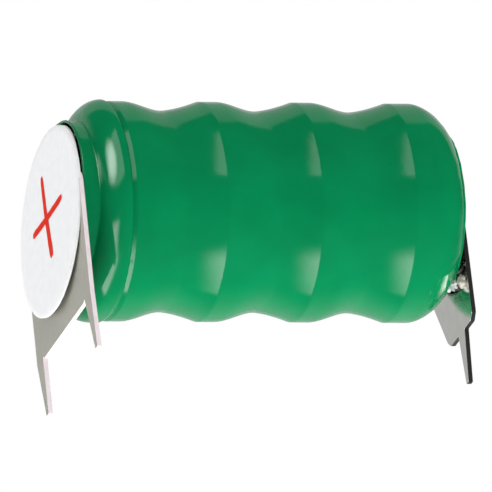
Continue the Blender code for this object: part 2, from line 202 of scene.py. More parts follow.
def reflected_studio(sky):
    """What shiny surfaces mirror: dark in front, a pale card behind, and two soft windows."""
    x = sky.along(X_AXIS)
    near = sky.along(NEAR)
    above = sky.along(ABOVE)
    past_end = sky.math("MAXIMUM", sky.math("SUBTRACT", x, CARD_END), 0.0)
    along_x = sky.math("MULTIPLY", x, CARD_TURN[0])
    card_side = sky.math("SUBTRACT", along_x, sky.math("MULTIPLY", near, CARD_TURN[1]))
    card_side = sky.math("SUBTRACT", card_side, sky.math("MULTIPLY", past_end, CARD_FALL))
    upper_card = sky.product(
        sky.step(card_side, 0.40, 0.47, 0.0, UPPER_CARD_GLOW),
        sky.step(above, -0.05, 0.05),
    )
    lower_card = sky.product(
        sky.step(card_side, 0.05, 0.75, 0.0, LOWER_CARD_GLOW),
        sky.step(above, 0.05, -0.05),
    )
    flat = sky.math("ABSOLUTE", above, 0.0)
    middle_card = sky.product(
        sky.step(flat, 0.50, 0.30, 0.0, MIDDLE_CARD_GLOW),
        sky.step(near, -0.60, -0.80),
    )
    card = sky.math("MAXIMUM", sky.math("ADD", upper_card, lower_card), middle_card)

    upper_side = sky.math("ADD", x, sky.math("MULTIPLY", near, WINDOW_TILT))
    upper_foot = sky.math("SUBTRACT", above, sky.math("MULTIPLY", x, WINDOW_FOOT_TILT))
    upper = sky.product(
        sky.step(upper_side, -0.145, -0.21, 0.0, UPPER_WINDOW_GLOW),
        sky.step(upper_foot, 0.74, 0.79),
        sky.step(near, -0.10, 0.0),
    )
    upper_lamp = sky.step(sky.along(UPPER_LAMP), LAMP_EDGE, LAMP_CORE, 0.0, UPPER_LAMP_GLOW)
    upper = sky.math("ADD", upper, upper_lamp)
    fall = sky.step(x, 0.05, -0.32)
    lower = sky.product(
        sky.math("MULTIPLY", fall, fall),
        sky.step(near, 0.80, 0.55, 0.0, LOWER_WINDOW_GLOW),
        sky.step(near, -0.14, -0.04),
        sky.step(above, 0.0, -0.1),
    )
    lower_lamp = sky.step(sky.along(LOWER_LAMP), LAMP_EDGE, LAMP_CORE, 0.0, LOWER_LAMP_GLOW)
    lower = sky.math("ADD", lower, lower_lamp)
    windows = sky.math("ADD", upper, lower)
    return sky.math("ADD", sky.math("ADD", windows, card), DARK_GLOW)


def make_world():
    """A white backdrop, with the light and the reflections that the studio gives."""
    sky = Sky()
    lighting = sky.math(
        "ADD",
        sky.step(sky.along(-ABOVE), -0.2, 1.0, *LIGHT_BELOW),
        sky.step(sky.along(ABOVE), 0.2, 1.0, 0.0, LIGHT_ABOVE),
    )
    lighting = sky.product(lighting, sky.step(sky.along(X_AXIS), -1.0, 1.0, *LIGHT_ALONG))
    path = sky.nodes.new("ShaderNodeLightPath")
    lit = sky.choose(
        path.outputs["Is Glossy Ray"],
        sky.background(lighting),
        sky.background(reflected_studio(sky)),
    )
    shown = sky.choose(path.outputs["Is Camera Ray"], lit, sky.background(1.0))
    out = sky.nodes.new("ShaderNodeOutputWorld")
    sky.links.new(shown, out.inputs["Surface"])


def make_floor():
    """A pale sheet at the pin tips. Seen from underneath it lets the view through."""
    mesh = bpy.data.meshes.new("floor")
    bm = bmesh.new()
    bmesh.ops.create_grid(bm, x_segments=1, y_segments=1, size=2.0)
    bm.to_mesh(mesh)
    bm.free()
    floor = bpy.data.objects.new("floor", mesh)
    bpy.context.scene.collection.objects.link(floor)
    material = bpy.data.materials.new("floor")
    material.use_nodes = True
    nodes, links = material.node_tree.nodes, material.node_tree.links
    paint = nodes["Principled BSDF"]
    paint.inputs["Base Color"].default_value = (0.88, 0.88, 0.87, 1.0)
    paint.inputs["Roughness"].default_value = 0.9
    clear = nodes.new("ShaderNodeBsdfTransparent")
    side = nodes.new("ShaderNodeNewGeometry")
    mix = nodes.new("ShaderNodeMixShader")
    links.new(side.outputs["Backfacing"], mix.inputs["Fac"])
    links.new(paint.outputs["BSDF"], mix.inputs[1])
    links.new(clear.outputs["BSDF"], mix.inputs[2])
    links.new(mix.outputs["Shader"], nodes["Material Output"].inputs["Surface"])
    mesh.materials.append(material)
    floor.visible_shadow = False
    floor.visible_glossy = False
    floor.visible_diffuse = False


# --- materials -------------------------------------------------------------------------------

class Look:
    """A Principled material with object coordinates, and helpers for its procedural detail."""

    def __init__(self, name, colour, roughness, metallic=0.0):
        self.material = bpy.data.materials.new(name)
        self.material.use_nodes = True
        self.nodes = self.material.node_tree.nodes
        self.links = self.material.node_tree.links
        self.shader = self.nodes["Principled BSDF"]
        self.coordinates = self.nodes.new("ShaderNodeTexCoord").outputs["Object"]
        self.last_bump = None
        self.set("Base Color", (*colour, 1.0))
        self.set("Roughness", roughness)
        self.set("Metallic", metallic)

    def set(self, socket, value):
        self.shader.inputs[socket].default_value = value

    def noise(self, size, detail=4.0, stretch=(1.0, 1.0, 1.0), roughness=0.5):
        """A noise whose features are about one size across, longer where stretch is larger."""
        scaling = self.nodes.new("ShaderNodeMapping")
        scaling.inputs["Scale"].default_value = [1.0 / (size * s) for s in stretch]
        texture = self.nodes.new("ShaderNodeTexNoise")
        texture.inputs["Scale"].default_value = 1.0
        texture.inputs["Detail"].default_value = detail
        texture.inputs["Roughness"].default_value = roughness
        self.links.new(self.coordinates, scaling.inputs["Vector"])
        self.links.new(scaling.outputs["Vector"], texture.inputs["Vector"])
        return texture.outputs["Fac"]

    def ramp(self, value, stops):
        """Maps a value to colours given as (position, colour) stops."""
        node = self.nodes.new("ShaderNodeValToRGB")
        elements = node.color_ramp.elements
        while len(elements) < len(stops):
            elements.new(0.5)
        for element, (position, colour) in zip(elements, stops):
            element.position = position
            element.color = (*colour, 1.0)
        self.links.new(value, node.inputs["Fac"])
        return node.outputs["Color"]

    def vary_colour(self, value, stops):
        self.links.new(self.ramp(value, stops), self.shader.inputs["Base Color"])

    def vary_roughness(self, value, low, high):
        span = self.nodes.new("ShaderNodeMapRange")
        span.inputs["To Min"].default_value = low
        span.inputs["To Max"].default_value = high
        self.links.new(value, span.inputs["Value"])
        self.links.new(span.outputs["Result"], self.shader.inputs["Roughness"])

    def bump(self, value, height, strength=1.0):
        """Stacks a bump of that height in metres on the ones before it."""
        node = self.nodes.new("ShaderNodeBump")
        node.inputs["Strength"].default_value = strength
        node.inputs["Distance"].default_value = height
        self.links.new(value, node.inputs["Height"])
        if self.last_bump is not None:
            self.links.new(self.last_bump, node.inputs["Normal"])
        self.last_bump = node.outputs["Normal"]
        self.links.new(self.last_bump, self.shader.inputs["Normal"])


def film_look():
    look = Look("green_film", (0.0, 0.22, 0.07), 0.12)
    look.set("IOR", 1.5)
    cloudy = look.noise(2.4 * MM, detail=3.0)
    look.vary_colour(cloudy, [(0.3, (0.0, 0.215, 0.072)), (0.7, (0.0, 0.245, 0.084))])
    drawn = look.noise(0.16 * MM, detail=2.0, stretch=(9.0, 1.0, 1.0))
    look.vary_roughness(drawn, 0.07, 0.15)
    look.bump(drawn, 0.0012 * MM)
    look.bump(look.noise(0.5 * MM, detail=2.0), 0.003 * MM)
    return look.material


def paper_look():
    look = Look("insulating_paper", (0.9, 0.9, 0.9), 0.85)
    look.set("Sheen Weight", 0.1)
    mottle = look.noise(0.55 * MM, detail=5.0, roughness=0.6)
    look.vary_colour(mottle, [(0.25, (0.84, 0.85, 0.865)), (0.65, (0.90, 0.905, 0.915))])
    fibres = look.noise(0.09 * MM, detail=3.0, stretch=(1.0, 3.5, 1.0))
    look.bump(fibres, 0.006 * MM)
    look.bump(mottle, 0.02 * MM)
    return look.material


def ink_look():
    look = Look("red_ink", (0.74, 0.024, 0.006), 0.55)
    look.set("Specular IOR Level", 0.05)
    patchy = look.noise(0.3 * MM, detail=4.0)
    look.vary_colour(patchy, [(0.3, (0.80, 0.030, 0.008)), (0.7, (0.68, 0.019, 0.005))])
    look.bump(look.noise(0.07 * MM), 0.004 * MM)
    return look.material


def tin_look(name, base, low, high, metallic):
    """Tinned steel, with rolling lines down the tag and a faint mottling."""
    look = Look(name, base, (low + high) / 2, metallic)
    mottle = look.noise(0.7 * MM, detail=6.0, roughness=0.62)
    dark = tuple(c * 0.95 for c in base)
    light = tuple(min(1.0, c * 1.04) for c in base)
    look.vary_colour(mottle, [(0.3, dark), (0.7, light)])
    rolled = look.noise(0.05 * MM, detail=3.0, stretch=(1.0, 1.0, 26.0))
    look.vary_roughness(rolled, low, high)
    look.bump(rolled, 0.0022 * MM)
    look.bump(mottle, 0.007 * MM)
    return look.material


def plated_look(name, base, low, high, grain):
    """Bright nickel plating over drawn steel."""
    look = Look(name, base, (low + high) / 2, metallic=1.0)
    haze = look.noise(0.9 * MM, detail=5.0)
    look.vary_colour(haze, [(0.3, tuple(c * 0.92 for c in base)), (0.7, base)])
    look.vary_roughness(look.noise(grain, detail=3.0), low, high)
    look.bump(look.noise(grain, detail=3.0, stretch=(1.0, 5.0, 5.0)), 0.0015 * MM)
    return look.material


def moulded_look(name, base, roughness):
    look = Look(name, base, roughness)
    cloud = look.noise(0.8 * MM, detail=3.0)
    look.vary_colour(cloud, [(0.3, tuple(c * 0.93 for c in base)), (0.7, base)])
    look.bump(look.noise(0.06 * MM, detail=2.0), 0.002 * MM)
    return look.material


def fibre_look():
    look = Look("pressed_fibre", (0.16, 0.19, 0.15), 0.8)
    strands = look.noise(0.08 * MM, detail=5.0, stretch=(1.0, 4.0, 1.0), roughness=0.7)
    look.vary_colour(strands, [(0.3, (0.12, 0.15, 0.12)), (0.7, (0.22, 0.25, 0.2))])
    look.bump(strands, 0.008 * MM)
    return look.material


def powder_look():
    look = Look("pressed_powder", (0.04, 0.04, 0.045), 0.9)
    grains = look.noise(0.05 * MM, detail=6.0, roughness=0.75)
    look.vary_colour(grains, [(0.35, (0.02, 0.02, 0.024)), (0.7, (0.09, 0.09, 0.095))])
    look.bump(grains, 0.012 * MM)
    return look.material


def fleece_look():
    look = Look("separator_fleece", (0.85, 0.84, 0.8), 0.95)
    look.set("Sheen Weight", 0.3)
    strands = look.noise(0.05 * MM, detail=5.0, stretch=(1.0, 6.0, 1.5), roughness=0.7)
    look.vary_colour(strands, [(0.3, (0.72, 0.71, 0.67)), (0.7, (0.9, 0.89, 0.86))])
    look.bump(strands, 0.012 * MM)
    return look.material


# --- mesh helpers ----------------------------------------------------------------------------

def add_piece(name, mesh, material, replaces=(), sharp=35.0):
    """Finishes a piece: material, smooth shading, its body, and the nodes that it stands for."""
    mesh.materials.clear()
    mesh.materials.append(material)
    mesh.shade_smooth()
    mesh.set_sharp_from_angle(angle=radians(sharp))
    piece = bpy.data.objects.new(name, mesh)
    bpy.context.scene.collection.objects.link(piece)
    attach(piece, "root")
    if replaces:
        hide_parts(*replaces)
    return piece


def arc(centre, reach, start, end, steps):
    """Points on an ellipse's arc, from the start angle to the end angle in degrees."""
    points = []
    for i in range(steps + 1):
        angle = radians(start + (end - start) * i / steps)
        points.append((centre[0] + reach[0] * cos(angle), centre[1] + reach[1] * sin(angle)))
    return points


def softened(points, reach, closed=False, steps=3):
    """Rounds every corner of a chain of points by up to that reach along its two sides."""
    count = len(points)
    result = []
    for i, corner in enumerate(points):
        corner = Vector(corner)
        if not closed and i in (0, count - 1):
            result.append(tuple(corner))
            continue
        before = Vector(points[i - 1])
        after = Vector(points[(i + 1) % count])
        ends = []
        for other in (before, after):
            side = other - corner
            ends.append(corner + side * min(reach / side.length, 0.4))
        for k in range(steps + 1):
            t = k / steps
            blend = ends[0] * (1 - t) ** 2 + corner * 2 * t * (1 - t) + ends[1] * t**2
            result.append(tuple(blend))
    return result


def lathe(name, profile, station, sides=TURNED_SIDES, closed=False, axis_z=None):
    """A mesh from (radius, station) points spun about the pack's axis."""
    axis_z = AXIS_Z if axis_z is None else axis_z
    bm = bmesh.new()
    rings = []
    for radius, along in profile:
        if radius < 1e-9:
            rings.append([bm.verts.new((station + along, 0.0, axis_z))])
            continue
        ring = []
        for i in range(sides):
            angle = 2 * pi * i / sides
            place = (station + along, radius * sin(angle), axis_z + radius * cos(angle))
            ring.append(bm.verts.new(place))
        rings.append(ring)
    pairs = list(zip(rings, rings[1:]))
    if closed:
        pairs.append((rings[-1], rings[0]))
    for first, second in pairs:
        for i in range(sides):
            j = (i + 1) % sides
            corners = [first[i % len(first)], first[j % len(first)]]
            corners += [second[j % len(second)], second[i % len(second)]]
            corners = list(dict.fromkeys(corners))
            if len(corners) > 2:
                bm.faces.new(corners)
    bmesh.ops.recalc_face_normals(bm, faces=bm.faces)
    mesh = bpy.data.meshes.new(name)
    bm.to_mesh(mesh)
    bm.free()
    return mesh


# --- the sleeve ------------------------------------------------------------------------------

CREASE = 0.67 * MM         # from a cell's middle to the crease on its positive side
CREASE_POWER = 0.55        # how quickly the film's slope eases off below the crease
NEGATIVE_FLAT = 0.35 * MM  # from a cell's middle to the end of its crest, negative side
NEGATIVE_SLOPE = 0.08      # how steeply the film leaves the crest on that side
VALLEY_SHIFT = 0.15 * MM   # how far the valleys lie towards the positive end
BEAD_HEIGHT = 0.09 * MM    # the bead at the positive end, over the first cell's crest
BEAD_START = -9.02 * MM
STEP_START = -8.84 * MM
STEP_END = -8.62 * MM
STEP_DEPTH = 0.10 * MM
END_LEAN = 0.083           # slope of the positive end's plane, whose top leans into the pack
SHOULDER_LEAN = 0.09       # the same for the lower half of the shoulder beside it
LEAN_FOOT = -9.0 * MM      # height from the axis, on the pins, where the tag's lean ends
POSITIVE_REACH = (1.59 * MM, 2.2 * MM)
POSITIVE_POWER = 1.05
NEGATIVE_START = 8.70 * MM
NEGATIVE_REACH = (2.07 * MM, 2.19 * MM)
NEGATIVE_POWER = 1.2
NEGATIVE_END = (10.66 * MM, 4.58 * MM)


def hermite(u, start, end, start_slope, end_slope):
    """A smooth run from start to end for u from 0 to 1, with the given slopes at its ends."""
    return (
        start * (1 + 2 * u) * (1 - u) ** 2
        + end * u * u * (3 - 2 * u)
        + start_slope * u * (1 - u) ** 2
        + end_slope * u * u * (u - 1)
    )


def lobe_radius(offset):
    """The film's outer radius beside a cell, at an offset along the pack from its middle.

    The film drops from a crease on the positive side, and rolls off gently on the other.
    """
    if offset < 0:
        u = max(-offset - CREASE, 0.0) / (PITCH / 2 - CREASE + VALLEY_SHIFT)
        return CREST - VALLEY_DEPTH * (1 - max(1 - u, 0.0) ** (1 + CREASE_POWER))
    run = PITCH / 2 - NEGATIVE_FLAT - VALLEY_SHIFT
    u = min(max(offset - NEGATIVE_FLAT, 0.0) / run, 1.0)
    return hermite(u, CREST, CREST - VALLEY_DEPTH, -NEGATIVE_SLOPE * run, 0.0)


def first_crest(x):
    """The radius between the bead at the positive end and the first cell's crest."""
    if x < STEP_START:
        u = (x - BEAD_START) / (STEP_START - BEAD_START)
        return hermite(u, CREST + BEAD_HEIGHT, CREST - STEP_DEPTH, 0.0, 0.0)
    u = min((x - STEP_START) / (STEP_END - STEP_START), 1.0)
    return CREST - STEP_DEPTH * (1 - u)


def shoulder_profile(start, reach, power, top, direction, stop):
    """(station, radius) points over an end of the stack, from its top down to a radius."""
    points = []
    steps = 60
    for i in range(steps + 1):
        angle = radians(90 * i / steps)
        radius = top - reach[1] * (1 - cos(angle) ** power)
        points.append((start + direction * reach[0] * sin(angle) ** power, radius))
        if radius < stop:
            break
    return points


def film_profile():
    """(station, radius) points along the outside of the sleeve, from the positive lip."""
    top = CREST + BEAD_HEIGHT
    positive = shoulder_profile(BEAD_START, POSITIVE_REACH, POSITIVE_POWER, top, -1, COLLAR_RADIUS)
    negative = shoulder_profile(
        NEGATIVE_START, NEGATIVE_REACH, NEGATIVE_POWER, CREST, 1, NEGATIVE_END[1] + 0.05 * MM
    )
    points = []
    for dx, dr in arc((0.0, 0.0), (0.33 * MM, LIP_FLARE), -180, -90, 5):
        points.append((POSITIVE_LIP + 0.33 * MM + dx, COLLAR_RADIUS + LIP_FLARE + dr))
    foot = (positive[-1][0], COLLAR_RADIUS)
    before, after = (foot[0] - 0.15 * MM, COLLAR_RADIUS), positive[-4]
    points += softened([before, foot, after], 0.12 * MM, steps=5)
    points += reversed(positive[:-4])
    start, end = BEAD_START, NEGATIVE_START
    creases = [CENTRE[i] - CREASE for i in CELLS if i > 1] + [STEP_START, STEP_END]
    count = round((end - start) / FILM_STEP)
    stations = [start + (end - start) * i / count for i in range(1, count)]
    stations = [x for x in stations if min(abs(x - c) for c in creases) > 0.4 * FILM_STEP]
    stations = [x for x in stations if not STEP_START < x < STEP_END]
    stations += [STEP_START + (STEP_END - STEP_START) * i / 8 for i in range(1, 8)]
    for x in sorted(stations + creases):
        nearest = min(CELLS, key=lambda n: abs(CENTRE[n] - x))
        if x < STEP_END:
            points.append((x, first_crest(x)))
        elif nearest == 1 and x < CENTRE[1] or nearest == 4 and x > CENTRE[4]:
            points.append((x, CREST))
        else:
            points.append((x, beside_nearest(x)))
    points += negative
    points += [(negative[-1][0] + 0.05 * MM, NEGATIVE_END[1] + 0.01 * MM), NEGATIVE_END]
    return points


def beside_nearest(x):
    """The radius from the lobes on both sides, of which the shifted valley picks one."""
    after = min((c for c in CENTRE.values() if c >= x), default=CENTRE[4])
    before = after - PITCH
    if x > after - PITCH / 2 - VALLEY_SHIFT:
        return lobe_radius(x - after) if x < after else CREST
    return lobe_radius(x - before)


def smoothstep(low, high, value):
    t = min(max((value - low) / (high - low), 0.0), 1.0)
    return t * t * (3 - 2 * t)


def film_detail(x, angle):
    """Small unevenness of the shrunk film, strongest in the pleats by its two ends."""
    around = Vector((cos(angle), sin(angle), 0.0))
    drift = noise.noise(Vector((x / (3.1 * MM), around.x * 1.7, around.y * 1.7)))
    height = 0.012 * MM * drift
    near_negative = smoothstep(CROWN[4] - 1.5 * MM, CROWN[4] - 0.1 * MM, x)
    near_positive = smoothstep(CAN_BASE[1] + 0.9 * MM, CAN_BASE[1] - 0.1 * MM, x)
    pleats = noise.noise(Vector((x / (1.6 * MM), around.x * 9.0, around.y * 9.0)))
    height += 0.07 * MM * near_negative * pleats
    height += 0.03 * MM * near_positive * pleats
    return height


def skew(x, height):
    """How far the positive end's film leans, as if its cell sat slightly askew in it."""
    shoulder = smoothstep(-11.3 * MM, -10.4 * MM, x) * (1 - smoothstep(-9.5 * MM, -8.8 * MM, x))
    lip = 1 - smoothstep(POSITIVE_LIP, -10.6 * MM, x)
    return SHOULDER_LEAN * min(height, 0.0) * shoulder + END_LEAN * height * lip


def make_sleeve(material):
    profile = film_profile()
    bm = bmesh.new()
    rings = []
    for x, radius in profile:
        ring = []
        for i in range(FILM_SIDES):
            angle = 2 * pi * i / FILM_SIDES
            r = radius + film_detail(x, angle)
            place = Vector((x, r * sin(angle), r * cos(angle)))
            place.x += skew(x, place.dot(ABOVE))
            place.z += AXIS_Z
            ring.append(bm.verts.new(place))
        rings.append(ring)
    for first, second in zip(rings, rings[1:]):
        for i in range(FILM_SIDES):
            j = (i + 1) % FILM_SIDES
            bm.faces.new((first[i], second[i], second[j], first[j]))
    mesh = bpy.data.meshes.new("heat_shrunk_film")
    bm.to_mesh(mesh)
    bm.free()
    film = add_piece("heat_shrunk_film", mesh, material, ["shrink_sleeve"], sharp=60.0)
    thickness = film.modifiers.new("thickness", "SOLIDIFY")
    thickness.thickness = FILM
    thickness.offset = -1.0
    thickness.use_even_offset = True


# --- the cells' own pieces -------------------------------------------------------------------

CAN_WALL = 0.25 * MM
FOOT_ROUND = (2.5 * MM, 2.1 * MM)
CRIMP_ROUND = (1.7 * MM, 1.75 * MM)
LID_RISE = 0.3 * MM
LID_WALL = 0.22 * MM
NECK = 3.6 * MM
SKIRT = 4.85 * MM
SKIRT_TOP = 1.15 * MM      # from the crown down to the top of the lid's skirt
SKIRT_END = 2.0 * MM       # and down to its end
NECK_END = 0.78 * MM       # and down to the end of the neck
CLEARANCE = 0.06 * MM
EDGE = 0.06 * MM


def can_profile():
    """A cup whose wall is crimped inwards over the gasket, with its lip rolled round."""
    rim = CELL_HEIGHT / 2 - LID_RISE
    base = -CELL_HEIGHT / 2
    crimp = (CAN_RADIUS - CRIMP_ROUND[0], rim - CRIMP_ROUND[1])
    foot = (CAN_RADIUS - FOOT_ROUND[0], base + FOOT_ROUND[1])
    crimp_inside = tuple(reach - CAN_WALL for reach in CRIMP_ROUND)
    foot_inside = tuple(reach - CAN_WALL for reach in FOOT_ROUND)
    lip = CAN_WALL / 2
    points = [(0.0, base + CAN_WALL)]
    points += arc(foot, foot_inside, -90, 0, 10)
    points += arc(crimp, crimp_inside, 0, 90, 10)
    points += arc((crimp[0], rim - lip), (lip, lip), 250, 110, 5)
    points += arc(crimp, CRIMP_ROUND, 90, 0, 12)
    points += arc(foot, FOOT_ROUND, 0, -90, 12)
    points.append((0.0, base))
    return points


def lid_profile():
    crown = CELL_HEIGHT / 2
    neck_end = crown - NECK_END
    top = crown - SKIRT_TOP
    bottom = crown - SKIRT_END
    round_off = 0.4 * MM
    inside = NECK - LID_WALL
    points = [(0.0, crown), (NECK - 1.1 * MM, crown), (NECK - 0.95 * MM, crown - 0.03 * MM)]
    points += arc((NECK - round_off, crown - round_off), (round_off, round_off - 0.03 * MM), 90, 0, 7)
    outer = [(NECK, neck_end), (NECK + 0.2 * MM, top + 0.12 * MM), (SKIRT - 0.2 * MM, top)]
    outer += [(SKIRT, top - 0.2 * MM), (SKIRT, bottom), (SKIRT - LID_WALL, bottom)]
    outer += [(SKIRT - LID_WALL, top - LID_WALL), (NECK, top - LID_WALL + 0.12 * MM)]
    outer += [(inside, neck_end - 0.15 * MM), (inside, crown - round_off)]
    outer += [(inside - 0.2 * MM, crown - LID_WALL), (0.0, crown - LID_WALL)]
    return points + softened([points[-1]] + outer, EDGE)[1:]


def gasket_profile():
    crown = CELL_HEIGHT / 2
    rim = crown - LID_RISE
    top = crown - SKIRT_TOP
    bottom = crown - SKIRT_END
    centre = (CAN_RADIUS - CRIMP_ROUND[0], rim - CRIMP_ROUND[1])
    inset = CAN_WALL + CLEARANCE
    neck, skirt = NECK + CLEARANCE, SKIRT + CLEARANCE
    collar = centre[0] - CAN_WALL / 2 - 2 * CLEARANCE
    points = [(neck, rim + 0.1 * MM), (collar, rim + 0.1 * MM), (collar, rim - inset)]
    points += arc(centre, (CRIMP_ROUND[0] - inset, CRIMP_ROUND[1] - inset), 90, 0, 8)
    points += [(CAN_RADIUS - inset, bottom - 0.3 * MM), (skirt - 0.5 * MM, bottom - 0.3 * MM)]
    points += [(skirt - 0.5 * MM, bottom - 0.1 * MM), (skirt, bottom - 0.1 * MM)]
    points += [(skirt, top - 0.17 * MM), (skirt - 0.2 * MM, top + 0.07 * MM)]
    points += [(neck + 0.17 * MM, top + 0.2 * MM), (neck, crown - 0.75 * MM)]
    return softened(points, 0.5 * EDGE, closed=True, steps=2)


def make_cells(looks):
    for i in CELLS:
        for part, profile, look, slot, closed in (
            ("can", can_profile(), "can", "can_steel", False),
            ("lid", lid_profile(), "can", "can_steel", False),
            ("gasket", gasket_profile(), "gasket", "gasket", True),
        ):
            name = f"fine_{part}_{i}"
            mesh = lathe(name, profile, CENTRE[i], closed=closed)
            add_piece(name, mesh, looks[look], [f"cell_{i}_{part}"])


def make_rings(material):
    """The washers on the crimped rims, with softened edges."""
    inner = CAN_RADIUS - CRIMP_ROUND[0] + CLEARANCE
    outer = NEGATIVE_END[1] - FILM - 2 * CLEARANCE
    for i in CELLS:
        low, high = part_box(f"insulating_ring_{i}")
        washer = [(inner, high.x), (outer, high.x), (outer, low.x), (inner, low.x)]
        profile = softened(washer, 0.7 * EDGE, closed=True)
        mesh = lathe(f"washer_{i}", profile, 0.0, closed=True)
        add_piece(f"washer_{i}", mesh, material, [f"insulating_ring_{i}"])


# --- the end hardware ------------------------------------------------------------------------

TAG_WIDTH = positive_high.y - positive_low.y
TAG_HEAD = 4.7 * MM
PIN_ROOT = 1.15 * MM
PIN_TIP = 0.4 * MM
PIN_LEAN = 0.35            # share of its taper that an outer pin leans outwards
ROOT_RELIEF = 0.2 * MM
SHEAR_DROP = 0.4 * MM      # from the axis down to the positive tag's straight sides
NEGATIVE_HEAD_RISE = 0.8 * MM
NEGATIVE_CORNER = 0.4 * MM
WING_END = -3.8 * MM
SLANT_END = (2.45 * MM, -6.75 * MM)
SHOULDER_END = 2.0 * MM
POSITIVE_DISH = 2.6 * MM
NEGATIVE_DISH = 1.7 * MM


def pin_outline(middle, outer_edge=0):
    """A tapered pin's (y, z) points about the pack's axis, from higher y round the tip."""
    root, tip = PIN_ROOT / 2, PIN_TIP / 2
    middle_tip = middle + outer_edge * (root - tip) * PIN_LEAN
    return [
        (middle + root, -TAG_SHOULDER_DROP),
        (middle_tip + tip, -AXIS_Z),
        (middle_tip - tip, -AXIS_Z),
        (middle - root, -TAG_SHOULDER_DROP),
    ]


def positive_outline():
    half = TAG_WIDTH / 2
    ear = half - TAG_HEAD
    right = pin_outline(half - PIN_ROOT / 2, 1)
    left = pin_outline(-half + PIN_ROOT / 2, -1)
    relief = ROOT_RELIEF - TAG_SHOULDER_DROP
    points = arc((0.0, 0.0), (TAG_HEAD, TAG_HEAD), 175, 5, 48)
    points += [(half - ear / 3, 0.1 * MM), (half, -SHEAR_DROP)]
    points += right
    points += [(right[-1][0] - ROOT_RELIEF / 2, relief)]
    points += [(right[-1][0] - ROOT_RELIEF, -TAG_SHOULDER_DROP)]
    points += [(left[0][0] + ROOT_RELIEF, -TAG_SHOULDER_DROP)]
    points += [(left[0][0] + ROOT_RELIEF / 2, relief)]
    points += left
    points += [(-half, -SHEAR_DROP), (-half + ear / 3, 0.1 * MM)]
    return points


def negative_outline():
    straight, wing = negative_low.y, negative_high.y
    head = (wing - straight) / 2
    points = arc(((wing + straight) / 2, NEGATIVE_HEAD_RISE), (head, head), 180, 0, 40)
    points += [(wing, WING_END), SLANT_END, (SHOULDER_END, -TAG_SHOULDER_DROP)]
    points += pin_outline(0.0)
    points += [(straight + NEGATIVE_CORNER, -TAG_SHOULDER_DROP)]
    points += [(straight, -TAG_SHOULDER_DROP + NEGATIVE_CORNER)]
    return points


def dished_plate(name, outline, outer_face, direction, depth, radius):
    """A sheet-metal plate with a round dish pressed into it, as one closed mesh.

    direction is +1 where the pack lies along +X from the plate, and -1 where it lies along -X.
    """
    thickness = TAG_THICKNESS
    sides = 64
    slope = 0.75 * depth
    bm = bmesh.new()

    def layer(level, dish_radius, bottom_level):
        edge = [bm.verts.new((level, y, AXIS_Z + z)) for y, z in outline]
        rings = []
        for ring_radius, ring_level in (
            (dish_radius + 0.10 * MM, level),
            (dish_radius, level + direction * 0.03 * MM),
            (dish_radius - slope, bottom_level - direction * 0.03 * MM),
            (dish_radius - slope - 0.10 * MM, bottom_level),
        ):
            ring = []
            for i in range(sides):
                angle = 2 * pi * i / sides
                y, z = ring_radius * sin(angle), ring_radius * cos(angle)
                ring.append(bm.verts.new((ring_level, y, AXIS_Z + z)))
            rings.append(ring)
        for first, second in zip(rings, rings[1:]):
            for i in range(sides):
                j = (i + 1) % sides
                bm.faces.new((first[i], first[j], second[j], second[i]))
        bm.faces.new(rings[-1])
        loops = []
        for loop in (edge, rings[0]):
            for i, vert in enumerate(loop):
                follower = loop[(i + 1) % len(loop)]
                loops.append(bm.edges.get((vert, follower)) or bm.edges.new((vert, follower)))
        bmesh.ops.triangle_fill(bm, use_beauty=True, use_dissolve=False, edges=loops)
        return edge

    outer = layer(outer_face, radius, outer_face + direction * depth)
    inner_face = outer_face + direction * thickness
    inner = layer(inner_face, radius + 0.3 * thickness, inner_face + direction * depth)
    for i in range(len(outer)):
        j = (i + 1) % len(outer)
        bm.faces.new((outer[i], outer[j], inner[j], inner[i]))
    bmesh.ops.recalc_face_normals(bm, faces=bm.faces)
    mesh = bpy.data.meshes.new(name)
    bm.to_mesh(mesh)
    bm.free()
    return mesh


def lean_head(mesh):
    """Leans the positive tag's head with the film's end, and less and less below the axis."""
    for vert in mesh.vertices:
        height = vert.co.z - AXIS_Z
        bent = height if height > 0 else height * (1 - min(height / LEAN_FOOT, 1.0))
        vert.co.x = min(vert.co.x + END_LEAN * bent, CAN_BASE[1] - 0.02 * MM)


def make_tag(name, node, outline, outer_face, direction, depth, dish, materials):
    """A tag with one material on each face, inner and outer, and a third on its sheared edges, whose
    colour paints their light: a painted highlight on the two-pin tag, painted shade on the one-pin
    tag.
    """
    outline = softened(outline, 0.09 * MM, closed=True, steps=2)
    mesh = dished_plate(name, outline, outer_face, direction, depth, dish)
    tag = add_piece(name, mesh, materials[0], [node], sharp=40.0)
    for material in materials[1:]:
        mesh.materials.append(material)
    for polygon in mesh.polygons:
        facing = polygon.normal.x * direction
        polygon.material_index = 2 if abs(facing) < 0.2 else int(facing < 0)
    rounding = tag.modifiers.new("sheared_edge", "BEVEL")
    rounding.width = SHEET_ROUND
    rounding.segments = 2
    rounding.limit_method = "ANGLE"
    rounding.angle_limit = radians(60.0)
    rounding.harden_normals = True
    return mesh


def make_tags(looks):
    positive = make_tag(
        "two_pin_tag", "positive_tag", positive_outline(), positive_low.x, 1,
        positive_high.x - positive_low.x - TAG_THICKNESS, POSITIVE_DISH,
        # the third material's pale pinkish colour paints the highlight on the sheared edges
        (looks["tin"], looks["tin"], looks["edge_painted_highlight"]),
    )
    lean_head(positive)
    make_tag(
        "one_pin_tag", "negative_tag", negative_outline(), negative_high.x, -1,
        negative_high.x - negative_low.x - TAG_THICKNESS, NEGATIVE_DISH,
        # the third material's near-black colour paints the shade on the sheared edges
        (looks["bright_tin"], looks["tin"], looks["edge_painted_shade"]),
    )


PAPER_SAG = 0.1 * MM       # how far the disc has slipped down on its glue
INK_LIFT = 0.012 * MM


